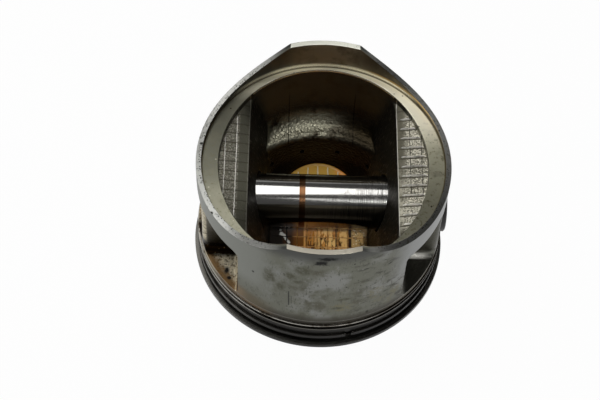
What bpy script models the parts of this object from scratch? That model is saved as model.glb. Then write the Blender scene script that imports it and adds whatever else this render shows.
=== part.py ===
"""Four-stroke engine piston with its rings and wrist pin, standing on its crown.

Origin: centre of the crown face, which is the lowest plane. +Z runs to the open end of the
skirt, X is the wrist pin's axis and Y is the thrust direction. All sizes are in metres.
"""
import math

import bmesh
import bpy
from mathutils import Matrix

MM = 0.001

# Skirt, crown and open end
SKIRT_RADIUS = 46.0 * MM
SKIRT_OVALITY = 0.2 * MM
PISTON_HEIGHT = 68.0 * MM
CROWN_THICKNESS = 7.0 * MM
EDGE_CHAMFER = 0.4 * MM
REGISTER_WALL = 2.1 * MM
REGISTER_DEPTH = 13.0 * MM
LEDGE_WIDTH_AT_PIN = 6.1 * MM
LEDGE_WIDTH_AT_THRUST = 1.6 * MM
BOSS_TOP_DROP = 4.0 * MM
BOSS_TOP_RISE = 1.4 * MM
TONGUE_HALF_WIDTH = 12.8 * MM
RIM_RELIEF_DEPTH = 11.3 * MM

# Well under the ledge: floor, bowl, shoulders over the ring belt and boss faces
BELT_WALL = 13.0 * MM
FLOOR_HALF_WIDTH = 19.0 * MM
FLOOR_END_ROUND = 20.5 * MM
FLOOR_FILLET = 1.6 * MM
BOWL_HEIGHT = 9.0 * MM
SHOULDER_Z = 25.0 * MM
SHOULDER_DROP = 3.0 * MM
SHOULDER_LIP = 2.5 * MM
SHOULDER_SWEEP = 8.5 * MM
BOSS_FACE_DRAFT = math.radians(14.3)
WELL_CORNER_POWER = 26
WELL_CORNER_FROM = math.radians(42)
WELL_CORNER_TO = math.radians(64)

# Side pockets between the strap, the bosses and the ring belt
PANEL_HALF_WIDTH = 29.7 * MM
STRAP_HEIGHT = 8.2 * MM
POCKET_FILLET = 2.4 * MM

# Wrist pin and its bosses
PIN_AXIS_HEIGHT = 30.0 * MM
PIN_RADIUS = 10.0 * MM
PIN_HOLE_RADIUS = 6.0 * MM
PIN_LENGTH = 78.0 * MM
PIN_PUSHED_OUT = 7.2 * MM
PIN_CLEARANCE = 0.06 * MM
PIN_CHAMFER = 0.9 * MM
BOSS_WALL = 6.0 * MM
BOSS_HALF_GAP = 21.6 * MM
BOSS_FACE_INSET = 2.5 * MM
BORE_CHAMFER = 0.8 * MM

# Wire clip that stops the pin, and its groove
CLIP_WIRE_RADIUS = 0.7 * MM
CLIP_FROM_FACE = 1.5 * MM
CLIP_SIDE_CLEARANCE = 0.1 * MM
CLIP_BITE = 0.8 * MM
CLIP_OPENING = math.radians(60)

# Lands, counted from the crown face
TOP_LAND_HEIGHT = 3.5 * MM
SECOND_LAND_HEIGHT = 2.4 * MM
THIRD_LAND_HEIGHT = 4.3 * MM
FOURTH_LAND_HEIGHT = 3.0 * MM
LAND_UNDERCUT = 0.7 * MM
BELT_UNDERCUT = 0.5 * MM
SKIRT_TAPER_HEIGHT = 5.0 * MM

# Rings, as they stand when they are out of the cylinder
RING_SIDE_CLEARANCE = 0.1 * MM
RING_BACK_CLEARANCE = 0.4 * MM
RING_CHAMFER = 0.2 * MM
COMPRESSION_RING_THICKNESS = 1.9 * MM
COMPRESSION_RING_DEPTH = 3.9 * MM
TOP_RING_SPRING = 1.45 * MM
TOP_RING_GAP = 9.4 * MM
TOP_RING_GAP_AT = math.radians(62)
SECOND_RING_SPRING = 0.15 * MM
SECOND_RING_GAP = 2.1 * MM
SECOND_RING_GAP_AT = math.radians(-76)
RAIL_THICKNESS = 0.6 * MM
RAIL_DEPTH = 2.7 * MM
RAIL_SPRING = 0.05 * MM
RAIL_GAP = 1.2 * MM
CROWN_RAIL_GAP_AT = math.radians(128)
SKIRT_RAIL_GAP_AT = math.radians(40)
EXPANDER_HEIGHT = 1.7 * MM
EXPANDER_STRIP = 0.5 * MM
EXPANDER_WAVE = 2.2 * MM
EXPANDER_WAVES = 46
EXPANDER_GAP_AT = math.radians(95)

# Oil drain holes, in one row over each thrust side
DRAIN_RADIUS = 1.0 * MM
DRAIN_PITCH = math.radians(24)
DRAINS_PER_SIDE = 4

# Facets of the round forms
BODY_STEPS = 78
RING_STEPS = 60
BORE_STEPS = 48
SCOOP_STEPS = 84
HOLE_STEPS = 10
WIRE_STEPS = 6
OVERRUN = 10.0 * MM

# Levels and radii that follow from the sizes above
COMPRESSION_GROOVE = COMPRESSION_RING_THICKNESS + 2 * RING_SIDE_CLEARANCE
OIL_GROOVE = 2 * RAIL_THICKNESS + EXPANDER_HEIGHT + 4 * RING_SIDE_CLEARANCE
TOP_GROOVE_Z = TOP_LAND_HEIGHT
SECOND_GROOVE_Z = TOP_GROOVE_Z + COMPRESSION_GROOVE + SECOND_LAND_HEIGHT
OIL_GROOVE_Z = SECOND_GROOVE_Z + COMPRESSION_GROOVE + THIRD_LAND_HEIGHT
BELT_TOP_Z = OIL_GROOVE_Z + OIL_GROOVE + FOURTH_LAND_HEIGHT
LAND_RADIUS = SKIRT_RADIUS - LAND_UNDERCUT
BELT_RADIUS = SKIRT_RADIUS - BELT_UNDERCUT
GROOVE_FLOOR = LAND_RADIUS - COMPRESSION_RING_DEPTH - RING_BACK_CLEARANCE
REGISTER_RADIUS = SKIRT_RADIUS - REGISTER_WALL
LEDGE_Z = PISTON_HEIGHT - REGISTER_DEPTH
BOSS_TOP_Z = LEDGE_Z - BOSS_TOP_DROP
OVAL_ACROSS = REGISTER_RADIUS - LEDGE_WIDTH_AT_PIN
OVAL_ALONG = REGISTER_RADIUS - LEDGE_WIDTH_AT_THRUST
RIM_LOW_Z = PISTON_HEIGHT - RIM_RELIEF_DEPTH
STRAP_LOW_Z = RIM_LOW_Z - STRAP_HEIGHT
BOSS_HALF_WIDTH = PIN_RADIUS + BOSS_WALL
BOSS_FACE_X = SKIRT_RADIUS - BOSS_FACE_INSET
BORE_RADIUS = PIN_RADIUS + PIN_CLEARANCE
CLIP_GROOVE_RADIUS = BORE_RADIUS + CLIP_BITE
CLIP_GROOVE_HALF = CLIP_WIRE_RADIUS + CLIP_SIDE_CLEARANCE
CLIP_X = BOSS_FACE_X - CLIP_FROM_FACE - CLIP_GROOVE_HALF
DRAIN_Z = OIL_GROOVE_Z + OIL_GROOVE / 2


def clear_scene():
    for item in list(bpy.data.objects):
        bpy.data.objects.remove(item, do_unlink=True)


def make_material(name, colour, metallic, roughness):
    material = bpy.data.materials.new(name)
    material.use_nodes = True
    shader = material.node_tree.nodes["Principled BSDF"]
    shader.inputs["Base Color"].default_value = (*colour, 1.0)
    shader.inputs["Metallic"].default_value = metallic
    shader.inputs["Roughness"].default_value = roughness
    return material


def cast_aluminium():
    return make_material("cast_aluminium", (0.42, 0.42, 0.39), 0.9, 0.5)


def polished_steel():
    return make_material("polished_steel", (0.62, 0.62, 0.62), 1.0, 0.15)


def dark_iron():
    return make_material("dark_iron", (0.10, 0.09, 0.08), 0.8, 0.45)


def bright_rail_steel():
    return make_material("bright_rail_steel", (0.50, 0.50, 0.48), 1.0, 0.3)


def spring_steel():
    return make_material("spring_steel", (0.20, 0.19, 0.18), 1.0, 0.4)


def finish_mesh(name, mesh_data, material=None):
    """Closes a bmesh into an object whose faces point out."""
    bmesh.ops.recalc_face_normals(mesh_data, faces=mesh_data.faces)
    mesh = bpy.data.meshes.new(name)
    mesh_data.to_mesh(mesh)
    mesh_data.free()
    mesh.shade_smooth()
    mesh.set_sharp_from_angle(angle=math.radians(32))
    item = bpy.data.objects.new(name, mesh)
    bpy.context.scene.collection.objects.link(item)
    if material is not None:
        mesh.materials.append(material)
    return item


def revolve(name, profile, steps, material=None):
    """Turns an (r, z) profile, which starts and ends on the Z axis, into a solid."""
    turned = bmesh.new()
    corners = [turned.verts.new((r, 0.0, z)) for r, z in profile]
    edges = [turned.edges.new(pair) for pair in zip(corners, corners[1:])]
    bmesh.ops.spin(
        turned, geom=corners + edges, cent=(0, 0, 0), axis=(0, 0, 1),
        angle=2 * math.pi, steps=steps, use_duplicate=False,
    )
    bmesh.ops.remove_doubles(turned, verts=turned.verts, dist=0.001 * MM)
    return finish_mesh(name, turned, material)


def sweep_sections(name, sections, closed, material=None):
    """Skins matching rings of points; an open run gets flat end caps."""
    skin = bmesh.new()
    loops = [[skin.verts.new(point) for point in section] for section in sections]
    pairs = list(zip(loops, loops[1:]))
    if closed:
        pairs.append((loops[-1], loops[0]))
    for lower, upper in pairs:
        for i in range(len(lower)):
            j = (i + 1) % len(lower)
            skin.faces.new((lower[i], lower[j], upper[j], upper[i]))
    if not closed:
        skin.faces.new(loops[0])
        skin.faces.new(loops[-1])
    return finish_mesh(name, skin, material)


def extrude_outline(name, outline, low, high):
    """Raises an (x, y) outline into a prism."""
    sections = [[(x, y, z) for x, y in outline] for z in (low, high)]
    return sweep_sections(name, sections, closed=False)


def mark_cutter(item):
    item.hide_render = True
    item.display_type = "WIRE"
    return item


def cut(body, cutter):
    mark_cutter(cutter)
    step = body.modifiers.new(cutter.name, "BOOLEAN")
    step.operation = "DIFFERENCE"
    step.solver = "EXACT"
    step.object = cutter


def turned_blank():
    """The casting as the lathe leaves it: lands, grooves, register and a slightly oval skirt."""
    top = PISTON_HEIGHT
    chamfer = EDGE_CHAMFER
    profile = [(0, 0), (LAND_RADIUS - chamfer, 0), (LAND_RADIUS, chamfer)]
    for low, height in ((TOP_GROOVE_Z, COMPRESSION_GROOVE), (SECOND_GROOVE_Z, COMPRESSION_GROOVE)):
        profile += groove_steps(low, height, LAND_RADIUS, LAND_RADIUS)
    profile += groove_steps(OIL_GROOVE_Z, OIL_GROOVE, LAND_RADIUS, BELT_RADIUS)
    profile += [
        (BELT_RADIUS, BELT_TOP_Z - FOURTH_LAND_HEIGHT / 2),
        (SKIRT_RADIUS - BELT_UNDERCUT / 4, BELT_TOP_Z),
        (SKIRT_RADIUS, BELT_TOP_Z + SKIRT_TAPER_HEIGHT),
        (SKIRT_RADIUS, top - chamfer),
        (SKIRT_RADIUS - chamfer, top),
        (REGISTER_RADIUS + chamfer, top),
        (REGISTER_RADIUS, top - chamfer),
        (REGISTER_RADIUS, LEDGE_Z),
        (0, LEDGE_Z),
    ]
    blank = revolve("piston_body", profile, BODY_STEPS, cast_aluminium())
    narrowing = 1 - SKIRT_OVALITY / SKIRT_RADIUS
    for corner in blank.data.vertices:
        outside = math.hypot(corner.co.x, corner.co.y) > REGISTER_RADIUS + chamfer / 2
        if outside and corner.co.z > BELT_TOP_Z - FOURTH_LAND_HEIGHT / 4:
            corner.co.x *= narrowing
    return blank


def groove_steps(low, height, radius_below, radius_above):
    return [
        (radius_below, low),
        (GROOVE_FLOOR, low),
        (GROOVE_FLOOR, low + height),
        (radius_above, low + height),
    ]


def well_outline(z, strip, across, along):
    """Level outline of the well: an oval cut off by two flats, its corners rounded."""
    quarter = []
    for start, end, steps in ((0, WELL_CORNER_FROM, 4), (WELL_CORNER_FROM, WELL_CORNER_TO, 5),
                              (WELL_CORNER_TO, math.pi / 2, 4)):
        quarter += [start + (end - start) * (i + 0.5) / steps for i in range(steps)]
    turns = quarter + [math.pi - turn for turn in reversed(quarter)]
    turns += [math.pi + turn for turn in turns]
    points = []
    for turn in turns:
        side = abs(math.cos(turn))
        front = abs(math.sin(turn))
        flat = (side / strip) ** WELL_CORNER_POWER
        oval = math.hypot(side / across, front / along) ** WELL_CORNER_POWER
        reach = (flat + oval) ** (-1 / WELL_CORNER_POWER)
        points.append((reach * math.cos(turn), reach * math.sin(turn), z))
    return points


def well_strip(z):
    """Half the gap between the boss faces at a level."""
    if z > PIN_AXIS_HEIGHT:
        return BOSS_HALF_GAP + (z - PIN_AXIS_HEIGHT) * math.tan(BOSS_FACE_DRAFT)
    share = (z - CROWN_THICKNESS) / (PIN_AXIS_HEIGHT - CROWN_THICKNESS)
    return FLOOR_HALF_WIDTH + (BOSS_HALF_GAP - FLOOR_HALF_WIDTH) * share


def well_levels():
    """(z, half length, half width) of the well's ends, from the floor fillet to the boss tops."""
    belt_inside = SKIRT_RADIUS - BELT_WALL
    levels = []
    steps = 3
    for i in range(steps):
        turn = math.pi / 2 * i / steps
        rise = FLOOR_FILLET * (1 - math.cos(turn))
        inset = FLOOR_FILLET * (1 - math.sin(turn))
        levels.append((CROWN_THICKNESS + rise, belt_inside - inset, FLOOR_END_ROUND - inset))
    levels.append((CROWN_THICKNESS + FLOOR_FILLET, belt_inside, FLOOR_END_ROUND))
    bowl_top = SHOULDER_Z - SHOULDER_DROP - BOWL_HEIGHT
    levels.append((bowl_top, belt_inside, (FLOOR_END_ROUND + 2 * belt_inside) / 3))
    levels.append((SHOULDER_Z - SHOULDER_DROP, belt_inside, belt_inside))
    lip = belt_inside + SHOULDER_LIP
    for i in range(1, steps):
        turn = math.pi / 2 * i / steps
        level = SHOULDER_Z - SHOULDER_DROP * (1 - math.sin(turn))
        reach = belt_inside + SHOULDER_LIP * (1 - math.cos(turn))
        levels.append((level, reach, reach))
    steps = 5
    for i in range(steps):
        turn = math.pi / 2 * i / (steps - 1)
        along = lip + (OVAL_ALONG - lip) * math.sin(turn)
        across = lip + (OVAL_ACROSS - lip) * math.sin(turn)
        levels.append((SHOULDER_Z + SHOULDER_SWEEP * (1 - math.cos(turn)), along, across))
    levels.append((BOSS_TOP_Z, OVAL_ALONG, OVAL_ACROSS))
    return levels


def well_cutter():
    """The open inside: channel, shoulders, boss faces, boss tops and the ledge's oval edge."""
    sections = [well_outline(z, well_strip(z), across, along) for z, along, across in well_levels()]
    for z in (BOSS_TOP_Z + BOSS_TOP_RISE, LEDGE_Z + OVERRUN):
        sections.append(well_outline(z, 2 * SKIRT_RADIUS, OVAL_ACROSS, OVAL_ALONG))
    return sweep_sections("well", sections, closed=False)


def rim_relief_cutter(side):
    """Cylinder along Y that scoops the open end down on one pin side."""
    run = SKIRT_RADIUS - TONGUE_HALF_WIDTH
    radius = (run * run + RIM_RELIEF_DEPTH * RIM_RELIEF_DEPTH) / (2 * RIM_RELIEF_DEPTH)
    scoop = bmesh.new()
    bmesh.ops.create_cone(
        scoop, cap_ends=True, segments=SCOOP_STEPS, radius1=radius, radius2=radius,
        depth=2 * (SKIRT_RADIUS + OVERRUN),
        matrix=Matrix.Translation((side * SKIRT_RADIUS, 0, RIM_LOW_Z + radius))
        @ Matrix.Rotation(math.pi / 2, 4, "X"),
    )
    return finish_mesh("rim_relief_" + ("right" if side > 0 else "left"), scoop)


def pocket_cutter(side):
    """Everything outside the bosses and struts on one side, from the belt to the strap."""
    far = SKIRT_RADIUS + OVERRUN
    deep = PANEL_HALF_WIDTH
    half = BOSS_HALF_WIDTH
    face = BOSS_FACE_X
    outline = [(far, -far), (far, far), (deep, far), (deep, half)]
    outline += [(face, half), (face, -half), (deep, -half), (deep, -far)]
    turned = [(side * x, y) for x, y in outline]
    item = extrude_outline(
        "pocket_" + ("right" if side > 0 else "left"), turned, BELT_TOP_Z, STRAP_LOW_Z
    )
    fillet = item.modifiers.new("fillet", "BEVEL")
    fillet.width = POCKET_FILLET
    fillet.segments = 3
    fillet.limit_method = "ANGLE"
    fillet.angle_limit = math.radians(40)
    return item


def pin_bore_cutter():
    """Turned tool for both boss bores: mouth chamfers and the two clip grooves."""
    outer = BOSS_FACE_X
    inner = BOSS_HALF_GAP + PIN_RADIUS * math.tan(BOSS_FACE_DRAFT)
    wide = BORE_RADIUS + BORE_CHAMFER
    mouth = BORE_RADIUS + BORE_CHAMFER / 2
    half_side = [
        (inner, wide),
        (inner + BORE_CHAMFER, BORE_RADIUS),
        (CLIP_X - CLIP_GROOVE_HALF, BORE_RADIUS),
        (CLIP_X - CLIP_GROOVE_HALF, CLIP_GROOVE_RADIUS),
        (CLIP_X + CLIP_GROOVE_HALF, CLIP_GROOVE_RADIUS),
        (CLIP_X + CLIP_GROOVE_HALF, BORE_RADIUS),
        (outer - BORE_CHAMFER / 2, BORE_RADIUS),
        (outer, mouth),
        (SKIRT_RADIUS + OVERRUN, mouth),
        (SKIRT_RADIUS + OVERRUN, 0),
    ]
    left_side = [(-x, r) for x, r in reversed(half_side)]
    profile = [(r, x) for x, r in left_side + half_side]
    item = revolve("pin_bore", profile, BORE_STEPS)
    lay_along_x(item, PIN_AXIS_HEIGHT)
    return item


def lay_along_x(item, height):
    """Turns a part made about Z so that it lies along X at the pin's height."""
    item.rotation_euler = (0, math.pi / 2, 0)
    item.location = (0, 0, height)


def drain_cutter():
    """Radial drillings from the oil groove into the cavity, over both thrust sides."""
    drill = bmesh.new()
    inner = SKIRT_RADIUS - BELT_WALL - OVERRUN
    outer = GROOVE_FLOOR + RAIL_DEPTH / 2
    for thrust in (math.pi / 2, -math.pi / 2):
        for i in range(DRAINS_PER_SIDE):
            turn = thrust + (i - (DRAINS_PER_SIDE - 1) / 2) * DRAIN_PITCH
            matrix = (
                Matrix.Rotation(turn, 4, "Z")
                @ Matrix.Translation(((inner + outer) / 2, 0, DRAIN_Z))
                @ Matrix.Rotation(math.pi / 2, 4, "Y")
            )
            bmesh.ops.create_cone(
                drill, cap_ends=True, segments=HOLE_STEPS, radius1=DRAIN_RADIUS,
                radius2=DRAIN_RADIUS, depth=outer - inner, matrix=matrix,
            )
    return finish_mesh("drain_drill", drill)


def piston_body():
    body = turned_blank()
    for side in (-1, 1):
        cut(body, rim_relief_cutter(side))
        cut(body, pocket_cutter(side))
    cut(body, well_cutter())
    cut(body, pin_bore_cutter())
    cut(body, drain_cutter())
    return body


def wrist_pin():
    """Hollow pin, pushed out towards +X past the boss face."""
    half = PIN_LENGTH / 2
    outer = PIN_RADIUS
    inner = PIN_HOLE_RADIUS
    bevel = PIN_CHAMFER
    rim = [
        (inner, half - bevel),
        (inner + bevel, half),
        (outer - bevel / 2, half),
        (outer, half - bevel / 2),
    ]
    profile = rim + [(r, -x) for r, x in reversed(rim)]
    sections = []
    for i in range(BORE_STEPS):
        turn = 2 * math.pi * i / BORE_STEPS
        sections.append([(x, r * math.cos(turn), r * math.sin(turn)) for r, x in profile])
    pin = sweep_sections("wrist_pin", sections, closed=True, material=polished_steel())
    pin.location = (PIN_PUSHED_OUT, 0, PIN_AXIS_HEIGHT)
    return pin


def retaining_clip():
    """Round-wire snap ring in the left boss; its ends part at the top."""
    wire_centre = CLIP_GROOVE_RADIUS - CLIP_SIDE_CLEARANCE - CLIP_WIRE_RADIUS
    steps = 24
    sections = []
    for i in range(steps + 1):
        turn = math.pi / 2 + CLIP_OPENING / 2 + (2 * math.pi - CLIP_OPENING) * i / steps
        ring = []
        for j in range(WIRE_STEPS):
            around = 2 * math.pi * j / WIRE_STEPS
            reach = wire_centre + CLIP_WIRE_RADIUS * math.cos(around)
            along = CLIP_WIRE_RADIUS * math.sin(around)
            ring.append((along, reach * math.cos(turn), reach * math.sin(turn)))
        sections.append(ring)
    clip = sweep_sections("retaining_clip", sections, closed=False, material=spring_steel())
    clip.location = (-CLIP_X, 0, PIN_AXIS_HEIGHT)
    return clip


def split_ring(name, profile, gap, gap_at, z, material):
    """Sweeps an (r, z) profile round the piston, leaving a gap at one angle."""
    outer = max(r for r, _ in profile)
    open_angle = gap / outer
    sections = []
    for i in range(RING_STEPS + 1):
        turn = gap_at + open_angle / 2 + (2 * math.pi - open_angle) * i / RING_STEPS
        sections.append([(r * math.cos(turn), r * math.sin(turn), h) for r, h in profile])
    ring = sweep_sections(name, sections, closed=False, material=material)
    ring.location = (0, 0, z)
    return ring


def compression_ring(name, spring, gap, gap_at, groove_z):
    outer = SKIRT_RADIUS + spring
    inner = outer - COMPRESSION_RING_DEPTH
    high = COMPRESSION_RING_THICKNESS
    edge = RING_CHAMFER
    profile = [
        (inner, 0),
        (outer - edge, 0),
        (outer, edge),
        (outer, high - edge),
        (outer - edge, high),
        (inner, high),
    ]
    return split_ring(name, profile, gap, gap_at, groove_z + RING_SIDE_CLEARANCE, dark_iron())


def oil_rail(name, gap_at, z):
    outer = SKIRT_RADIUS + RAIL_SPRING
    inner = outer - RAIL_DEPTH
    profile = [(inner, 0), (outer, 0), (outer, RAIL_THICKNESS), (inner, RAIL_THICKNESS)]
    return split_ring(name, profile, RAIL_GAP, gap_at, z, bright_rail_steel())


def oil_expander(z):
    """Spring strip folded in and out between the rails, its two ends nearly touching."""
    low = GROOVE_FLOOR + RING_BACK_CLEARANCE
    high = low + EXPANDER_WAVE
    count = 2 * EXPANDER_WAVES
    sections = []
    for i in range(count):
        turn = EXPANDER_GAP_AT + 2 * math.pi * (i + 0.5) / count
        reach = low if i % 2 else high
        sections.append([
            (r * math.cos(turn), r * math.sin(turn), h)
            for r, h in (
                (reach, 0),
                (reach + EXPANDER_STRIP, 0),
                (reach + EXPANDER_STRIP, EXPANDER_HEIGHT),
                (reach, EXPANDER_HEIGHT),
            )
        ])
    strip = sweep_sections("oil_expander", sections, closed=False, material=spring_steel())
    strip.location = (0, 0, z)
    return strip


def ring_pack():
    compression_ring(
        "top_ring", TOP_RING_SPRING, TOP_RING_GAP, TOP_RING_GAP_AT, TOP_GROOVE_Z
    )
    compression_ring(
        "second_ring", SECOND_RING_SPRING, SECOND_RING_GAP, SECOND_RING_GAP_AT, SECOND_GROOVE_Z
    )
    crown_rail_z = OIL_GROOVE_Z + RING_SIDE_CLEARANCE
    expander_z = crown_rail_z + RAIL_THICKNESS + RING_SIDE_CLEARANCE
    skirt_rail_z = expander_z + EXPANDER_HEIGHT + RING_SIDE_CLEARANCE
    oil_rail("oil_rail_crown_side", CROWN_RAIL_GAP_AT, crown_rail_z)
    oil_expander(expander_z)
    oil_rail("oil_rail_skirt_side", SKIRT_RAIL_GAP_AT, skirt_rail_z)


def main():
    clear_scene()
    piston_body()
    wrist_pin()
    retaining_clip()
    ring_pack()


main()
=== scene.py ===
"""Looks for the used engine piston: materials, cast relief, light, floor and camera.

The meshes are made in millimetres and scaled to the frame's metres when they are dressed. Places in
the materials are in millimetres too, because each one scales its object coordinates by 1000 first.
"""
import math
import random

import bmesh
import bpy
from mathutils import Matrix, Vector

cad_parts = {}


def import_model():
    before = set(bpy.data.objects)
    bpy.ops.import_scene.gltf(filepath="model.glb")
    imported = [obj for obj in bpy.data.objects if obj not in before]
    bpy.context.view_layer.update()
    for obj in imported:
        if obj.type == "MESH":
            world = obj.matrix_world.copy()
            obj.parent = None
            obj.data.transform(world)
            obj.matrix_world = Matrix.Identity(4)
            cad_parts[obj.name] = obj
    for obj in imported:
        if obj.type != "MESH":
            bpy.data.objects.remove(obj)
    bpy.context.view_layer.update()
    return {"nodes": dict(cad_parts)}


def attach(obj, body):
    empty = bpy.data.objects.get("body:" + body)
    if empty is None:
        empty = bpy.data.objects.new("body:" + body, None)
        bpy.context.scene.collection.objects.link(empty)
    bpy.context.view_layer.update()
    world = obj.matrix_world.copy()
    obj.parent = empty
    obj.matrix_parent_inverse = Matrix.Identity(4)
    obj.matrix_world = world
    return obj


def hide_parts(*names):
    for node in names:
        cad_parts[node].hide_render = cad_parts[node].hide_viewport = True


MM = 0.001
UP = Vector((0, 0, 1))

# The photograph's camera, fitted to the rim, the ledge, the skirt and the rings
CAMERA_PLACE = (-0.01800, -0.30304, 0.49679)
CAMERA_AZIMUTH = math.radians(-3.40)
CAMERA_ELEVATION = math.radians(54.71)
CAMERA_ROLL = math.radians(4.37)
FOCAL_PIXELS = 1493.0
AIM_PIXELS = (25.3, -57.3)
FRAME_PIXELS = 600
SENSOR_MM = 36.0

# Levels of the casting, in millimetres
HEIGHT = 68.0
LEDGE = 55.0
BOSS_TOP = 51.0
STRAP_LOW = 48.5
BELT_TOP = 20.7
CROWN_INSIDE = 7.0

# The casting's sizes, in millimetres, as in the frame
SKIRT_RADIUS = 46.0
SKIRT_OVALITY = 0.2
LAND_RADIUS = 45.3
BELT_RADIUS = 45.5
GROOVE_FLOOR = 41.0
REGISTER_RADIUS = 43.9
TONGUE_HALF_WIDTH = 12.8
RIM_RELIEF = 11.3
OVAL_ACROSS = 37.8
OVAL_ALONG = 42.3
BOSS_TOP_RISE = 1.4
BELT_INSIDE = 33.0
FLOOR_HALF_WIDTH = 19.0
FLOOR_END_ROUND = 20.5
FLOOR_FILLET = 1.6
BOWL_HEIGHT = 9.0
SHOULDER = 25.0
SHOULDER_DROP = 3.0
SHOULDER_LIP = 2.5
SHOULDER_SWEEP = 8.5
BOSS_HALF_GAP = 21.6
BOSS_FACE_DRAFT = math.radians(14.3)
WELL_CORNER_POWER = 26
WELL_CORNER_FROM = math.radians(42)
WELL_CORNER_TO = math.radians(64)
PANEL_HALF_WIDTH = 29.7
BOSS_HALF_WIDTH = 16.0
BOSS_FACE = 43.5
POCKET_FILLET = 2.4
PIN_AXIS = 30.0
BORE_RADIUS = 10.06
CLIP_FROM = 40.4
CLIP_TO = 42.0
CLIP_GROOVE_DEPTH = 0.8
BORE_CHAMFER = 0.8
BOSS_FACE_CHAMFER = 0.4
DRAIN_Z = 16.05
DRAIN_RADIUS = 1.0
DRAINS_PER_SIDE = 4
DRAIN_ANGLE = math.radians(24)
CORNER_ROUND = 0.2

# Beyond the casting on every side, in millimetres; the cutters reach this far
FAR = 60.0

# Low edge and high edge of each ring groove, and the radius above it
RING_GROOVES = ((3.5, 5.6, LAND_RADIUS), (8.0, 10.1, LAND_RADIUS), (14.4, 17.7, BELT_RADIUS))

# Pin and rings, in millimetres, as in the frame
PIN_RADIUS = 10.0
PIN_HOLE_RADIUS = 6.0
PIN_LENGTH = 78.0
PIN_PUSHED_OUT = 7.2
PIN_CHAMFER = 0.9
RING_DEPTH = 3.9
RING_THICKNESS = 1.9
RING_CHAMFER = 0.2
RAIL_DEPTH = 2.7
RAIL_THICKNESS = 0.6
RAIL_CHAMFER = 0.12
RAIL_SPRING = 0.05
RAIL_GAP = 1.2

# How far a compression ring springs out, its gap, where the gap lies and the ring's low face
TOP_RING = (1.45, 9.4, math.radians(62), 3.6)
SECOND_RING = (0.15, 2.1, math.radians(-76), 8.1)

# Where an oil rail's gap lies and the rail's low face
CROWN_RAIL = (math.radians(128), 14.5)
SKIRT_RAIL = (math.radians(40), 17.0)

# Facets of the turned shapes; the finer rings are a little smaller, to stay inside the frame's
CASTING_STEPS = 240
BORE_STEPS = 128
PIN_STEPS = 144
RING_STEPS = 240
RING_STEPS_SLACK = 0.03

# Low ridges that the mould left, in millimetres
FIRST_RIB_Y = 2.0
RIB_SPACING = 4.15
RIB_STEP = 0.8
RIB_HALF_WIDTH = 0.34
LONG_RIBS_AT = (31.6, 35.7)
LONG_RIB_HALF_WIDTH = 0.24
FLOOR_RIB_STEP = 1.2
FLOOR_LONG_RIBS_AT = (-12.2, -8.2, -4.3, -0.4, 3.6, 7.5, 11.4)
FLOOR_CROSS_RIBS_AT = (-22, -18, -14, -10, -6, -1.6, 2.4, 6.4, 10.5, 14.5, 18.5, 22.5)
FLOOR_LONG_RIB_HEIGHT = 0.35
FLOOR_CROSS_RIB_HEIGHT = 0.12

# Stage, in metres
STAGE_HALF_SIZE = 6.0
LIT_MIDDLE = (0.0, 0.0, 0.04)
SNOOT_ANGLE = math.radians(4.2)


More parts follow.
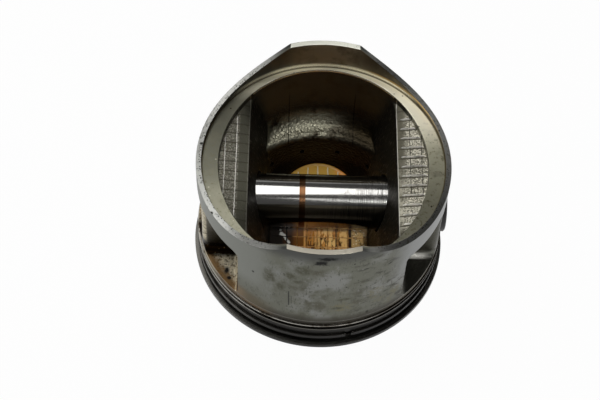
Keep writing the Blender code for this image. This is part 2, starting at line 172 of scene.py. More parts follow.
class Look:
    """One material, built up in layers over object coordinates in millimetres.

    A share is 0 where a layer doesn't show and 1 where it does. Where a share is asked for,
    (value, low, high) stands for its rise and a list for the product of the shares in it. In
    layers, the region comes first, and its rows leave it out.
    """

    def __init__(self, name, colour, roughness, metallic, turned=0.0):
        self.material = bpy.data.materials.new(name)
        self.material.use_nodes = True
        self.tree = self.material.node_tree
        self.shader = self.tree.nodes["Principled BSDF"]
        if turned:
            self.turn_marks(turned)
        coords = self.add("TexCoord")
        self.place = self.vector("MULTIPLY", coords.outputs["Object"], (1000, 1000, 1000))
        self.x, self.y, self.z = self.split(self.place)
        self.nx, self.ny, self.nz = self.split(coords.outputs["Normal"])
        self.side = self.math("ABSOLUTE", self.x)
        squares = self.math("ADD", self.math("POWER", self.side, 2), self.math("MULTIPLY", self.y, self.y))
        self.radius = self.math("SQRT", squares)
        self.colour = colour
        self.roughness = roughness
        self.metallic = metallic
        self.height = None

    def turn_marks(self, strength):
        """Spreads the gloss across the fine grooves that a lathe leaves round the Z axis."""
        grooves = self.add("Tangent")
        grooves.direction_type = "RADIAL"
        grooves.axis = "Z"
        self.link(grooves.outputs[0], self.shader.inputs["Tangent"])
        self.shader.inputs["Anisotropic"].default_value = strength
        self.shader.inputs["Anisotropic Rotation"].default_value = 0.25

    def add(self, kind):
        return self.tree.nodes.new("ShaderNode" + kind)

    def link(self, source, target):
        if isinstance(source, (int, float)):
            target.default_value = source
        elif isinstance(source, tuple):
            filled = len(source) == 3 and target.type == "RGBA"
            target.default_value = (*source, 1.0) if filled else source
        else:
            self.tree.links.new(source, target)

    def feed(self, node, *values):
        for value, socket in zip(values, node.inputs):
            self.link(value, socket)
        return node.outputs

    def split(self, source):
        return tuple(self.feed(self.add("SeparateXYZ"), source))

    def joined(self, x, y, z):
        return self.feed(self.add("CombineXYZ"), x, y, z)[0]

    def math(self, operation, a, b=0.0, c=0.0):
        node = self.add("Math")
        node.operation = operation
        return self.feed(node, a, b, c)[0]

    def vector(self, operation, a, b=(0.0, 0.0, 0.0)):
        node = self.add("VectorMath")
        node.operation = operation
        outputs = self.feed(node, a, b)
        return outputs["Value"] if operation in ("LENGTH", "DOT_PRODUCT") else outputs[0]

    def mix(self, share, a, b):
        """From a to b as the share goes from 0 to 1; a stays where there is no b."""
        if b is None:
            return a
        node = self.add("Mix")
        number = isinstance(a, (int, float)) or (not isinstance(a, tuple) and a.type == "VALUE")
        node.data_type = "FLOAT" if number else "RGBA"
        inputs = [socket for socket in node.inputs if socket.enabled]
        for value, socket in zip((share, a, b), inputs):
            self.link(value, socket)
        return next(socket for socket in node.outputs if socket.enabled)

    def rise(self, value, low, high):
        """0 on low's side, 1 on high's side, smooth between; the value may be a name, such as "x"."""
        if isinstance(value, str):
            value = getattr(self, value)
        node = self.add("MapRange")
        node.interpolation_type = "SMOOTHSTEP"
        ends = (1.0, 0.0) if low > high else (0.0, 1.0)
        return self.feed(node, value, min(low, high), max(low, high), *ends)[0]

    def band(self, value, low, high, soft=0.1):
        """1 between low and high, 0 outside, with soft edges."""
        return self.all((value, low - soft, low + soft), (value, high + soft, high - soft))

    def share(self, given):
        if isinstance(given, tuple):
            return self.rise(*given)
        return self.all(*given) if isinstance(given, list) else given

    def all(self, *shares):
        total = self.share(shares[0])
        for share in shares[1:]:
            total = self.math("MULTIPLY", total, self.share(share))
        return total

    def any(self, *shares):
        total = self.share(shares[0])
        for share in shares[1:]:
            total = self.math("MAXIMUM", total, self.share(share))
        return total

    def inverse(self, share):
        return self.math("SUBTRACT", 1.0, share)

    def noise(self, size, detail=4.0, rough=0.55, stretch=(1, 1, 1), shift=0.0, where=None):
        """Noise whose features are about size millimetres wide."""
        node = self.add("TexNoise")
        where = self.vector("MULTIPLY", self.place if where is None else where, stretch)
        if shift:
            where = self.vector("ADD", where, (shift, 1.7 * shift, -shift))
        self.link(where, node.inputs["Vector"])
        node.inputs["Scale"].default_value = 1.0 / size
        node.inputs["Detail"].default_value = detail
        node.inputs["Roughness"].default_value = rough
        return node.outputs[0]

    def grooves(self, size):
        """Noise that runs round the Z axis, as a lathe tool's marks do."""
        across = self.joined(self.radius, self.z, self.math("MULTIPLY", self.x, 0.012))
        return self.noise(size, 3.0, 0.6, where=across)

    def specks(self, spacing, reach, shift=0.0):
        """Small round dots about spacing millimetres apart; reach is a share of the spacing."""
        node = self.add("TexVoronoi")
        where = self.vector("ADD", self.place, (shift, -shift, 2 * shift))
        self.link(where, node.inputs["Vector"])
        node.inputs["Scale"].default_value = 1.0 / spacing
        return self.rise(node.outputs["Distance"], reach, reach * 0.6)

    def frayed(self, distance, wobble, amount):
        if wobble is None:
            return distance
        return self.math("ADD", distance, self.math("MULTIPLY", self.math("SUBTRACT", wobble, 0.5), amount))

    def spot(self, centre, reach, wobble=None):
        """1 at a place on the surface, 0 beyond reach millimetres; reach may differ by axis."""
        reaches = reach if isinstance(reach, tuple) else (reach, reach, reach)
        away = self.vector("DIVIDE", self.vector("SUBTRACT", self.place, centre), reaches)
        return self.rise(self.frayed(self.vector("LENGTH", away), wobble, 1.6), 1.0, 0.3)

    def stroke(self, start, end, reach, wobble=None):
        """1 along a straight line between two places, 0 beyond reach millimetres."""
        run = Vector(end) - Vector(start)
        from_start = self.vector("SUBTRACT", self.place, start)
        share = self.vector("DOT_PRODUCT", from_start, tuple(run / run.length_squared))
        share = self.math("MINIMUM", self.math("MAXIMUM", share, 0.0), 1.0)
        along = self.joined(*(self.math("MULTIPLY", share, part) for part in run))
        away = self.vector("LENGTH", self.vector("SUBTRACT", from_start, along))
        return self.rise(self.frayed(self.math("DIVIDE", away, reach), wobble, 1.6), 1.0, 0.4)

    def layer(self, share, colour=None, roughness=None, metallic=None):
        share = self.share(share)
        self.colour = self.mix(share, self.colour, colour)
        self.roughness = self.mix(share, self.roughness, roughness)
        self.metallic = self.mix(share, self.metallic, metallic)

    def layers(self, region, *rows):
        """One layer inside a region for each row, which holds the rest of its share and its values."""
        for share, *values in rows:
            self.layer([region, *share] if isinstance(share, list) else [region, share], *values)

    def relief(self, height, depth_mm, share=None):
        """Adds a height of so many millimetres to the bump."""
        piece = self.math("MULTIPLY", height, depth_mm)
        if share is not None:
            piece = self.math("MULTIPLY", piece, self.share(share))
        self.height = piece if self.height is None else self.math("ADD", self.height, piece)

    def done(self, edge_mm=0.0):
        self.link(self.colour, self.shader.inputs["Base Color"])
        self.link(self.roughness, self.shader.inputs["Roughness"])
        self.link(self.metallic, self.shader.inputs["Metallic"])
        smooth = None
        if edge_mm:
            rounding = self.add("Bevel")
            rounding.samples = 6
            rounding.inputs["Radius"].default_value = edge_mm * MM
            smooth = rounding.outputs[0]
        if self.height is not None:
            bump = self.add("Bump")
            bump.inputs["Distance"].default_value = MM
            self.link(self.height, bump.inputs["Height"])
            if smooth is not None:
                self.link(smooth, bump.inputs["Normal"])
            smooth = bump.outputs[0]
        if smooth is not None:
            self.link(smooth, self.shader.inputs["Normal"])
        return self.material


def darker(colour, share):
    return tuple(share * part for part in colour)


def turned_look():
    """Skirt, belt, lands, rim, register and ledge: turned, rubbed and stained by oil, with painted highlights
    on the ledge, the back tongue and the register wall, and painted shade on the rim, the belt and low on the
    skirt.
    """
    look = Look("turned_aluminium", (0.12, 0.122, 0.097), 0.36, 1, turned=0.88)
    blotch = look.noise(7, 5, 0.6)
    fine = look.noise(1.4, 4, 0.65)
    look.relief(look.grooves(0.35), 0.01)
    look.relief(look.noise(0.4, 3, 0.6), 0.012)

    top = look.rise("nz", 0.8, 0.9)
    upright = look.inverse(top)
    skirt = look.all(("radius", 44.6, 45), ("z", BELT_TOP - 0.4, BELT_TOP + 0.2), upright)
    rim = look.all(top, ("radius", 43.7, 43.9), ("z", 55.5, 56))
    ledge = look.all(top, look.band("z", LEDGE - 0.3, LEDGE + 0.3, 0.1))
    inner_wall = look.all(upright, ("radius", 44.3, 44.1), ("z", 54.9, 55.2))
    belt = look.rise("z", BELT_TOP - 0.2, BELT_TOP - 0.9)

    skirt_stains_and_painted_shade(look, skirt, blotch, fine)
    rim_finish_and_painted_light(look, rim, fine)
    ledge_finish_and_painted_light(look, ledge, blotch, fine)
    inner_wall_finish_and_painted_highlight(look, inner_wall, blotch)
    belt_finish_and_painted_shade(look, belt, blotch, fine)
    return look.done(0.22)


def skirt_stains_and_painted_shade(look, skirt, blotch, fine):
    cloud = look.noise(11, 4, 0.55, (1, 1, 0.8), 5)
    scuff = look.noise(2.6, 4, 0.65, (0.5, 0.5, 1.4), 21)
    fleck = look.noise(0.7, 4, 0.7, (1, 1, 0.3), 41)
    look.layers(
        skirt,
        ((cloud, 0.46, 0.66), (0.175, 0.178, 0.165), 0.3),
        ((blotch, 0.52, 0.72), (0.085, 0.082, 0.06), 0.4),
        ([("x", 2, 18), (scuff, 0.53, 0.66)], (0.062, 0.06, 0.048), 0.42),
        ((fine, 0.58, 0.75), (0.175, 0.175, 0.16), 0.32),
        ((fleck, 0.55, 0.68), (0.07, 0.069, 0.056), 0.42),
        ([("x", 22, 32), ("z", 34, 46)], (0.2, 0.205, 0.2), 0.3),
        ([("x", -15, -24), ("z", 30, 40)], (0.165, 0.17, 0.15), 0.34),
    )
    tan = (0.13, 0.121, 0.076)
    for centre, reach in (
        ((19, -41.9, 36.1), (4.5, 4.5, 5)), ((21.5, -40.7, 29.5), (3.5, 3.5, 2.2)),
        ((26.5, -37.6, 30.5), (3.5, 3.5, 6)), ((24.5, -38.9, 25), (3, 3, 3.5)),
        ((8, -45.3, 31), (7, 3, 4)),
    ):
        look.layer([skirt, look.spot(centre, reach, scuff), (fine, 0.4, 0.6)], tan, 0.36)
    olive = (0.074, 0.073, 0.05)
    for centre, reach in (
        ((-11, -44.7, 50.6), (2.8, 2.5, 3.2)), ((-8.6, -45.2, 47.6), (2.6, 2, 1.6)),
        ((-18.4, -42.2, 46.5), (3.8, 3, 5.5)), ((-6.5, -45.5, 56), (4.5, 2, 4)),
        ((-14.5, -43.7, 42), (2.4, 2, 4)),
        ((8.5, -45.2, 36.5), (4.5, 2, 1.2)), ((5.5, -45.6, 30.5), (3, 2, 1.2)),
    ):
        look.layer([skirt, look.spot(centre, reach, blotch), (fine, 0.24, 0.56)], olive, 0.42)
    for centre, reach in (
        ((10.6, -44.8, 60.2), (0.5, 0.5, 0.6)), ((8.4, -45.2, 64.8), (1.4, 1, 0.4)),
        ((8.6, -45.2, 45), (0.5, 0.5, 0.6)), ((23.4, -39.6, 53.1), (1.2, 1.2, 0.5)),
        ((-24.2, -39.1, 43.9), (0.7, 0.7, 0.8)), ((17.2, -42.7, 23.4), (0.7, 0.7, 1.6)),
        ((27, -37.2, 61), (0.8, 0.8, 0.4)), ((14.8, -43.5, 55.2), (1.6, 1, 0.4)),
    ):
        look.layer([skirt, look.spot(centre, reach, fine)], (0.03, 0.03, 0.026), 0.5)
    look.layer(look.stroke((-11.5, -44.5, 39.8), (-11.3, -44.6, 30.6), 0.34, fine), (0.035, 0.035, 0.03), 0.4)
    look.layer(look.stroke((-10.5, -44.8, 37), (-10.4, -44.8, 32), 0.22, fine), (0.07, 0.07, 0.06), 0.4)
    look.layer(look.spot((-21.8, -40.5, 62.5), 0.45), (0.5, 0.5, 0.45))
    # Darker towards the top edge; darker towards the bottom above the belt, as painted shade; the two brown
    # rows on the low left front are stains.
    low = (look.frayed(look.z, blotch, 5), 30, 23.5)
    look.layers(
        skirt,
        (("z", 59, 66.5), (0.058, 0.059, 0.054)),
        (("z", 26, 21.5), (0.042, 0.038, 0.026)),
        ([low, ("x", -14, -25), ("y", -8, -20)], (0.074, 0.058, 0.028), 0.34),
        ([low, ("x", -14, -25), ("y", -8, -20), ("x", -25, -31)], (0.15, 0.098, 0.042), 0.34),
    )
    left_smudge = look.spot((-0.9, -46, 62.2), (2.9, 2, 2.2), fine)
    right_smudge = look.spot((1.6, -46, 64.9), (5, 2, 1.5), fine)
    look.layer(look.any(left_smudge, right_smudge), (0.009, 0.009, 0.008), 0.45)


def rim_finish_and_painted_light(look, rim, fine):
    tongue = look.rise("z", HEIGHT - 0.5, HEIGHT - 0.2)
    lower = look.inverse(tongue)
    look.layer(rim, (0.46, 0.46, 0.43), 0.34)
    # The right half is painted darker, with darker patches towards the right, as painted shade; the back
    # tongue's top is painted near white, a painted highlight.
    look.layers(
        rim,
        (("x", -10, 10), (0.21, 0.208, 0.195), 0.36),
        (tongue, (0.33, 0.305, 0.25), 0.34),
        ([tongue, ("y", -1, 1)], (0.92, 0.92, 0.8), 0.32),
        ([look.specks(0.9, 0.34), lower, ("radius", 45.3, 44.5)], (0.05, 0.045, 0.035), 0.5),
        ([(fine, 0.52, 0.66), lower], (0.25, 0.25, 0.23)),
        ([(fine, 0.52, 0.66), ("x", 0, 20)], (0.13, 0.125, 0.105)),
    )
    for centre, reach in (
        ((-31.3, 33.2, 57.5), 1), ((-44, 6, 57), 0.9), ((-39.3, -23.8, 57), 1),
        ((-45.2, -5, 57), 0.5), ((36, 27, 57), 0.6), ((18, 41.5, 66.5), 0.7),
    ):
        look.layer([rim, look.spot(centre, reach, fine)], (0.025, 0.022, 0.018), 0.5)


def ledge_finish_and_painted_light(look, ledge, blotch, fine):
    # The back arc and the right side are painted pale, a painted highlight; the left side is painted a little
    # darker, as painted shade.
    bright = look.any(("y", 26, 36), [("x", 20, 30), ("y", 4, 20)])
    look.layer(ledge, (0.28, 0.272, 0.205), 0.36)
    look.layers(
        ledge,
        ([("x", -30, -38), ("y", -14, -4)], (0.2, 0.196, 0.15)),
        (("x", 20, 34), (0.42, 0.405, 0.295), 0.34),
        (bright, (0.92, 0.87, 0.68), 0.3),
        ([(fine, 0.53, 0.68), ("y", 24, 4)], (0.2, 0.19, 0.125), 0.4),
        ([(blotch, 0.5, 0.75), look.inverse(bright)], (0.235, 0.225, 0.165), 0.38),
        (look.specks(3.1, 0.13, 4), (0.42, 0.41, 0.32)),
        (look.specks(5.3, 0.08, 9), (0.05, 0.045, 0.03)),
        (("radius", 43.2, 43.8), (0.1, 0.08, 0.04)),
    )


def inner_wall_finish_and_painted_highlight(look, wall, blotch):
    look.layer(wall, (0.23, 0.2, 0.145), 0.28)
    look.layers(
        wall,
        (("x", -8, -18), (0.1, 0.094, 0.075)),
        ([("x", 8, 20), ("y", -6, 6)], (0.07, 0.053, 0.027), 0.3),
        ((blotch, 0.45, 0.7), (0.12, 0.1, 0.065)),
        # A pale band at the back just above the ledge, a painted highlight that the ledge also reflects.
        ([("z", 57.6, 56), ("y", 26, 36)], (0.9, 0.86, 0.72), 0.25),
        ([look.band("z", 56.6, 57.4, 0.2), ("x", 10, 22)], (0.34, 0.22, 0.075), 0.28),
    )


def belt_finish_and_painted_shade(look, belt, blotch, fine):
    look.layer(belt, (0.028, 0.025, 0.02), 0.3, 0.9)
    # Near black over the middle of the belt, front and back, as painted shade.
    look.layer([belt, look.band("x", -26, 40, 8)], (0.009, 0.008, 0.006), 0.3, 0.9)
    above_rings = look.all(belt, ("z", 17.2, 17.5))
    look.layer(above_rings, (0.16, 0.145, 0.115), 0.34, 1)
    look.layers(
        above_rings,
        # Darker at the front, as painted shade.
        ([look.band("x", -20, 26, 7), ("y", 0, -8)], (0.03, 0.026, 0.018)),
        ([("x", -14, -24), (blotch, 0.3, 0.6)], (0.11, 0.072, 0.036), 0.36, 0.9),
        ([("x", -36, -42), (fine, 0.68, 0.52)], (0.46, 0.39, 0.26), 0.36, 0.7),
        ([("x", -14, -24), (fine, 0.56, 0.68)], (0.1, 0.065, 0.03), 0.4),
    )
    look.layer([belt, look.specks(2.2, 0.16, 13)], (0.012, 0.01, 0.008))


def cast_look():
    """Boss tops, struts and pockets: the rough skin that the mould left, with painted light and shade on the
    boss tops and in the pockets.
    """
    look = Look("rough_cast_aluminium", (0.12, 0.115, 0.095), 0.42, 1)
    blotch = look.noise(6, 5, 0.6)
    fine = look.noise(1.2, 4, 0.65)
    grain = look.noise(0.5, 3, 0.6)
    boss_top = look.rise("z", BOSS_TOP - 0.3, BOSS_TOP - 0.1)
    lower = look.inverse(boss_top)
    look.relief(fine, 0.14)
    look.relief(grain, 0.06)
    look.relief(grain, 0.12, [boss_top, ("x", 26, 31)])
    boss_top_finish_and_painted_light(look, boss_top, blotch, fine)
    left_pocket_finish_and_painted_light(look, look.all(lower, ("x", -20, -21)), blotch, fine)
    right_pocket_finish_and_painted_light(look, look.all(lower, ("x", 20, 21)))
    return look.done(0.25)


def boss_top_finish_and_painted_light(look, top, blotch, fine):
    """Left top dull and right top bright, as painted light, with painted shadow lines beside and along the
    ridges, painted highlights on the inner edges and painted shade towards the back end.
    """
    grain = look.noise(0.55, 2, 0.6, shift=51)
    left = look.rise("x", 1, -1)
    right = look.rise("x", -1, 1)
    row = look.math("PINGPONG", look.math("SUBTRACT", look.y, FIRST_RIB_Y), RIB_SPACING / 2)
    rib_shadow_lines = look.math("PINGPONG", look.math("SUBTRACT", look.y, FIRST_RIB_Y - 0.65), RIB_SPACING / 2)
    lines = look.any(look.band("side", 31.45, 31.75, 0.12), look.band("side", 35.55, 35.85, 0.12))
    edge = look.band("side", 26.9, 27.2, 0.08)
    look.layer(top, (0.19, 0.18, 0.145), 0.4)
    look.layers(
        top,
        # The right top is painted lighter, as painted light.
        (right, (0.37, 0.352, 0.28), 0.36),
        ((blotch, 0.5, 0.72), (0.13, 0.12, 0.085), 0.45),
        ([("side", 28, 31), (grain, 0.5, 0.62), right], (0.64, 0.61, 0.5), 0.3),
        ([(grain, 0.52, 0.64), left], (0.34, 0.325, 0.26), 0.3),
        ((grain, 0.48, 0.4), (0.12, 0.114, 0.088), 0.45),
        # Painted shade towards the back end.
        (("y", 21, 28), (0.05, 0.045, 0.03), 0.45),
        ([("x", -31, -30.4), ("x", -27, -27.6)], (0.11, 0.106, 0.08), 0.42),
        ([("x", 1, 2), ("side", 31.5, 28.5), ("y", -16, 8)], (0.105, 0.098, 0.072), 0.42),
        # Painted shade along the left cross ridges, painted shadows beside the right cross ridges and along
        # the right long ridges.
        ([left, (look.frayed(row, fine, 0.3), 0.32, 0.12)], (0.078, 0.072, 0.052), 0.45),
        ([right, (rib_shadow_lines, 0.42, 0.14)], (0.07, 0.064, 0.048), 0.45),
        ([right, lines, ("y", -14, -8)], (0.06, 0.055, 0.042), 0.45),
        # Painted highlights on the inner edges, brighter on the right.
        ([edge, right], (0.5, 0.48, 0.42), 0.34),
        ([edge, left], (0.24, 0.23, 0.19), 0.34),
    )


def left_pocket_finish_and_painted_light(look, pocket, blotch, fine):
    """Strut painted darker low down and a near-black painted shadow at the foot of the boss flank, cream
    corner, and a pocket floor of cream sludge with brown stains and pits, with a painted highlight line and a
    painted shadow strip at the panel edge.
    """
    strut = look.all(pocket, ("z", 23.5, 26.5))
    look.layer(pocket, (0.1, 0.092, 0.072), 0.42)
    # Painted shade low on the strut.
    look.layer([strut, ("z", 42, 30)], (0.03, 0.025, 0.015), 0.42)
    look.layer([strut, ("x", -41.4, -42.4), (fine, 0.76, 0.4)], (0.54, 0.48, 0.34), 0.4, 0.6)
    base = look.all(pocket, ("z", BELT_TOP + 5, BELT_TOP + 1.5), ("y", 0, -4))
    look.layer(base, (0.88, 0.79, 0.58), 0.42, 0.4)
    look.layer([base, (blotch, 0.48, 0.66)], (0.34, 0.25, 0.13), 0.42)
    look.layer([base, (fine, 0.46, 0.66)], (0.26, 0.205, 0.12), 0.42)
    look.layer([base, (look.frayed(look.radius, fine, 3), 41, 44.5)], (0.26, 0.15, 0.055), 0.4)
    # A near-black painted shadow at the foot of the boss flank.
    corner = [pocket, (look.frayed(look.y, fine, 2), -20.5, -18), ("y", 0, -6)]
    look.layer(corner + [(look.frayed(look.z, fine, 3), 28.5, 24)], (0.008, 0.004, 0.001), 0.4, 1)
    look.layers(
        base,
        (look.specks(1.3, 0.22, 6), (0.09, 0.06, 0.03)),
        # A painted highlight line and a painted shadow strip along the panel edge.
        ([look.band("x", -30.9, -30.4, 0.1), (fine, 0.62, 0.44)], (0.62, 0.52, 0.34), 0.4),
        (("x", -30.3, -30), (0.03, 0.016, 0.006), 0.4),
    )
    left_pit = look.spot((-34.2, -25.5, BELT_TOP), (1.3, 2, 1), fine)
    right_pit = look.spot((-33.2, -28.6, BELT_TOP), 1.1, fine)
    look.layer([pocket, look.any(left_pit, right_pit)], (0.004, 0.003, 0.002), 0.5)


def right_pocket_finish_and_painted_light(look, pocket):
    look.layer(pocket, (0.13, 0.128, 0.11), 0.36)
    # Walls painted darker than the floor, as painted shade.
    look.layer([pocket, ("z", BELT_TOP + 1.8, BELT_TOP + 3)], (0.055, 0.053, 0.04), 0.42)
    # A near-white strip on the fillet along the boss flank, a painted highlight.
    strip = look.band("y", -18.4, -16.5, 0.3)
    look.layer([pocket, strip, ("z", BELT_TOP + 2, BELT_TOP + 1.4), ("x", 42, 37)], (1, 0.98, 0.9), 0.45, 0.5)


def well_look():
    """Inside of the well: dark with burnt oil, hammered at the shoulder, varnished on the floor, with painted
    highlights on the shoulder and the back top edge and painted shade under the shoulder.
    """
    look = Look("oil_browned_casting", (0.068, 0.058, 0.042), 0.4, 0.9)
    blotch = look.noise(7, 5, 0.6)
    fine = look.noise(1.3, 4, 0.65)
    wall = look.rise("z", CROWN_INSIDE + 0.4, CROWN_INSIDE + 0.6)
    look.relief(look.noise(1, 2, 0.5), 0.46, look.all(wall, ("z", 40, 31)))
    look.relief(fine, 0.05)

    # A painted highlight along the left and middle of the shoulder, painted shade on its right.
    shoulder = look.all(look.band("z", 23.8, 30, 2.6), ("y", 10, 18))
    look.layer([shoulder, ("x", 16, -6)], (0.5, 0.48, 0.355), 0.3)
    look.layer([shoulder, ("x", 0, 14)], (0.03, 0.022, 0.01), 0.34)
    look.layer([wall, (blotch, 0.5, 0.7)], (0.055, 0.042, 0.026))
    # Painted shade under the shoulder.
    look.layer([wall, ("z", 24.8, 22)], (0.01, 0.006, 0.003), 0.45)
    # A painted highlight along the back top edge.
    look.layer([wall, look.band("z", 54.1, 56, 0.15), ("y", 12, 26)], (0.85, 0.82, 0.72), 0.3, 1)
    seam = look.band("side", 12.35, 12.65, 0.1)
    look.layer([seam, ("y", 20, 25), ("z", 46, 40)], (0.012, 0.009, 0.006))
    boss_face = look.rise(look.math("ABSOLUTE", look.nx), 0.8, 0.92)
    scrape = look.noise(0.7, 3, 0.7, (1, 1, 0.08), 31)
    look.layer(boss_face, (0.026, 0.022, 0.015), 0.55)
    look.layer([boss_face, (scrape, 0.55, 0.68)], (0.13, 0.115, 0.085), 0.35)
    from_axis = look.vector("LENGTH", look.joined(look.y, look.math("SUBTRACT", look.z, PIN_AXIS), 0))
    look.layer([look.band(from_axis, 10, 10.95, 0.05), ("side", 21, 22)], (0.1, 0.095, 0.08), 0.4)
    floor_finish_and_painted_light(look, look.inverse(wall), blotch, fine)
    return look.done(0.3)


def floor_finish_and_painted_light(look, oil, blotch, fine):
    """Oil varnish on the inside of the crown: gold in the middle, darkened by painted shade to nearly black
    towards the left boss, with a pale painted glint near the left end.
    """
    back = look.rise("y", 12, 20)
    front = look.inverse(back)
    vein = look.noise(1.3, 4, 0.7, (1.6, 0.45, 1), 8)
    crackle = look.all(front, look.band("x", -6, 10.6, 2), look.band("y", -12, -1, 1.5))
    streak = look.noise(1.5, 4, 0.65, (1.6, 0.4, 1), 15)
    light = look.all(front, (streak, 0.41, 0.53), ("x", -4, 2), ("y", -9.5, -5))
    look.layer(oil, (0.66, 0.27, 0.045), 0.28, 0)
    look.layers(
        oil,
        ((blotch, 0.42, 0.68), (0.44, 0.155, 0.026), 0.26),
        (back, (0.8, 0.47, 0.085), 0.3, 0),
        ([back, ("x", 5, 9)], (1, 0.42, 0.07), 0.3),
        ([crackle, (vein, 0.47, 0.52)], (0.085, 0.028, 0.006), 0.35),
        (light, (1, 0.63, 0.22), 0.32),
        # Painted shade, darker step by step towards the left.
        ([front, ("x", -5.5, -6)], (0.22, 0.085, 0.016), 0.34),
        ([front, ("x", -8.6, -10.6)], (0.06, 0.024, 0.008), 0.34),
        ([front, ("x", -12.6, -14.4)], (0.012, 0.007, 0.003), 0.75),
        ([front, look.band("x", -5.5, -4.9, 0.15)], (0.82, 0.44, 0.13), 0.3),
    )
    facet = look.all(oil, ("x", 12.6, 13.2), ("x", 19.4, 18.6))
    look.layer(facet, (0.7, 0.46, 0.18), 0.34)
    look.layer([facet, (fine, 0.52, 0.64)], (0.22, 0.13, 0.05), 0.4)
    look.layer([facet, look.specks(1.1, 0.34, 17)], (1, 0.86, 0.56))
    seam = look.any(look.band("x", 11.2, 12.8, 0.25), [front, look.band("x", 6.6, 7.1, 0.15)])
    # A pale painted glint near the left end.
    painted_glint = look.any(
        look.stroke((-14.2, -0.5, 7), (-12.9, -1.5, 7), 1, fine), look.spot((-14.7, 1.3, 7), 0.7, fine),
        look.stroke((-12.7, -2.2, 7), (-11.3, -4.4, 7), 0.7, fine),
    )
    look.layers(
        oil,
        (seam, (0.03, 0.014, 0.006), 0.4),
        (("x", 18.2, 19.4), (0.012, 0.009, 0.006), 0.4),
        (painted_glint, (0.9, 0.9, 0.84), 0.5, 0),
    )


def ridge_look(name, colour, varnished=False):
    look = Look(name, colour, 0.32, 0)
    look.layer((look.noise(1.6, 3, 0.6), 0.46, 0.66), darker(colour, 0.45), 0.4)
    if varnished:
        # Painted shade on the ridges towards the left, matching the floor, and darker at the right end.
        look.layer(look.any(("x", -8.6, -10.6), ("x", 18, 19)), (0.008, 0.005, 0.003), 0.85)
        look.layer(("y", 14, 20), (1, 0.94, 0.72), 0.3)
    look.relief(look.noise(0.5, 3), 0.03)
    return look.done()


def pin_look():
    """Bright steel, rubbed in fine streaks along its right half and painted darker on the front of that half
    as painted shade, with one band of brown varnish.
    """
    look = Look("polished_pin_steel", (0.52, 0.51, 0.485), 0.1, 1)
    streaks = look.noise(0.19, 3, 0.75, (1, 0.02, 0.02))
    rubbed = look.rise("x", -8, 14)
    look.relief(streaks, 0.003, look.math("ADD", look.math("MULTIPLY", rubbed, 0.9), 0.1))
    lit = look.math("ADD", look.math("MULTIPLY", look.rise("z", 30, 37), 0.7), 0.3)
    # Painted shade on the front of the right half.
    look.layer([("y", -4, -4.8), rubbed], (0.22, 0.22, 0.208), 0.14)
    look.layer([(streaks, 0.44, 0.6), ("x", 0, 26), lit], (0.07, 0.069, 0.064), 0.2)
    look.layer([(streaks, 0.44, 0.56), ("y", -4, -4.6), rubbed], (0.09, 0.09, 0.084), 0.16)
    look.layer([(look.noise(3, 3, 0.6), 0.5, 0.7), rubbed, ("y", -4.8, -4)], (0.36, 0.35, 0.33), 0.18)
    look.layer(look.band("x", -8.1, -6, 0.12), (0.17, 0.085, 0.04), 0.2)
    look.layer(look.band("x", -8.2, -7.8, 0.12), (0.16, 0.06, 0.02), 0.2)
    end = look.rise("side", 31, 33)
    look.layer(end, (0.024, 0.023, 0.021), 0.45, 0.3)
    look.layer([end, ("z", 29, 23)], (0.16, 0.13, 0.095), 0.36)
    return look.done(0.3)


def ring_look(name, dark, light):
    look = Look(name, dark, 0.3, 0.95, turned=0.5)
    top = look.rise("nz", 0.7, 0.95)
    outer = look.rise("nz", 0.5, 0.2)
    look.layer([top, (look.noise(5, 4, 0.6), 0.4, 0.62)], light, 0.28, 1)
    look.layer([top, (look.noise(1.1, 4, 0.7), 0.56, 0.66)], (0.014, 0.012, 0.01), 0.42)
    look.layer([top, ("x", -36, -22)], darker(light, 0.4), 0.34)
    look.layer([outer, (look.grooves(0.5), 0.45, 0.65)], darker(light, 0.55), 0.3)
    # The outer faces are near black over the middle, front and back, as painted shade.
    look.layer([outer, look.band("x", -26, 40, 8)], (0.007, 0.006, 0.005), 0.3)
    look.layer([top, ("radius", 46, 46.3)], (0.15, 0.145, 0.13), 0.3)
    look.relief(look.grooves(0.3), 0.012)
    return look.done(0.12)


def rail_look():
    look = Look("worn_rail_steel", (0.34, 0.325, 0.29), 0.3, 1, turned=0.5)
    look.layer((look.noise(5, 4, 0.6), 0.5, 0.66), (0.09, 0.075, 0.055), 0.36)
    look.layer(("x", 12, 26), (0.055, 0.045, 0.032), 0.36)
    look.layer([("z", 16, 15.6), ("x", -30, -20)], (0.075, 0.07, 0.058), 0.3)
    return look.done()


def spring_look():
    look = Look("dark_spring_steel", (0.05, 0.042, 0.034), 0.4, 0.9)
    look.layer((look.noise(1.5, 3), 0.5, 0.7), (0.022, 0.016, 0.011), 0.5)
    return look.done()


def placed(name, data):
    item = bpy.data.objects.new(name, data)
    bpy.context.scene.collection.objects.link(item)
    return item


def as_object(name, draft, closed=True):
    if closed:
        bmesh.ops.recalc_face_normals(draft, faces=draft.faces)
    mesh = bpy.data.meshes.new(name)
    draft.to_mesh(mesh)
    draft.free()
    return placed(name, mesh)


def revolve(name, profile, steps):
    """Turns an (r, z) profile, which starts and ends on the Z axis, into a closed mesh."""
    turned = bmesh.new()
    corners = [turned.verts.new((r, 0.0, z)) for r, z in profile]
    edges = [turned.edges.new(pair) for pair in zip(corners, corners[1:])]
    bmesh.ops.spin(
        turned, geom=corners + edges, cent=(0, 0, 0), axis=(0, 0, 1),
        angle=2 * math.pi, steps=steps, use_duplicate=False,
    )
    bmesh.ops.remove_doubles(turned, verts=turned.verts, dist=0.0005)
    return as_object(name, turned)


